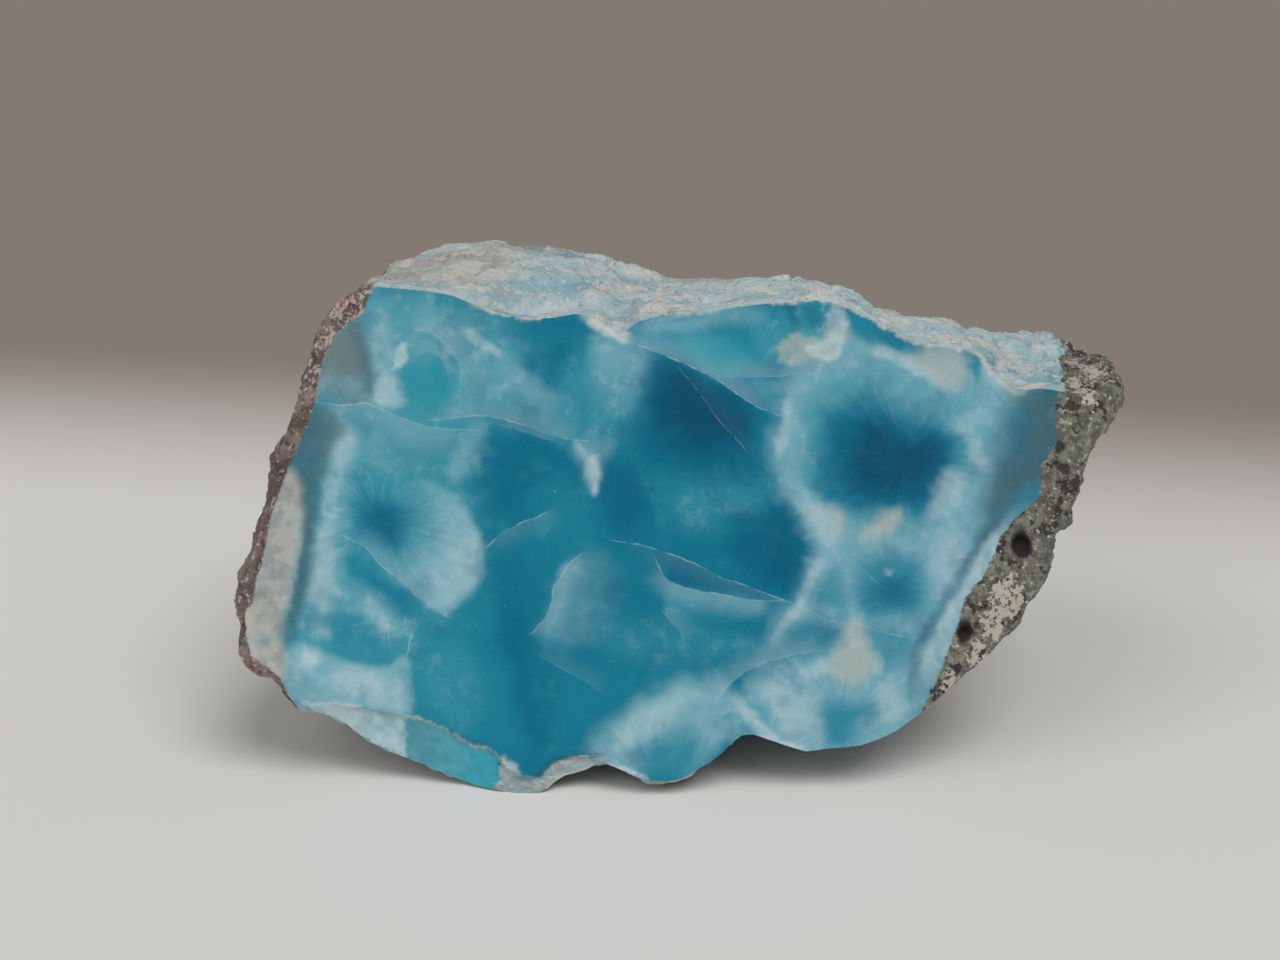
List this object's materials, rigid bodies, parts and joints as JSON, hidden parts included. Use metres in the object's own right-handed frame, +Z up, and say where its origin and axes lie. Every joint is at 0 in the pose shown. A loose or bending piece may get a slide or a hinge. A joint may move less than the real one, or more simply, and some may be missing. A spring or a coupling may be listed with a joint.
{
  "type": "rough larimar specimen",
  "caption": "Rough chunk of blue larimar with one smooth sawn face, thin crust on one edge and vesicular basalt on the other, standing on its broken lower edge.",
  "frame": {"origin": "on the surface that the stone stands on, under the middle of its bounding box", "axes": "+X to the right along the sawn face, +Y from the sawn face into the stone, +Z up"},
  "size_m": [0.0937, 0.0488, 0.0502],
  "materials": {
    "larimar": "satin"
  },
  "bodies": {
    "root": {"larimar_stone": "larimar"}
  },
  "joints": []
}
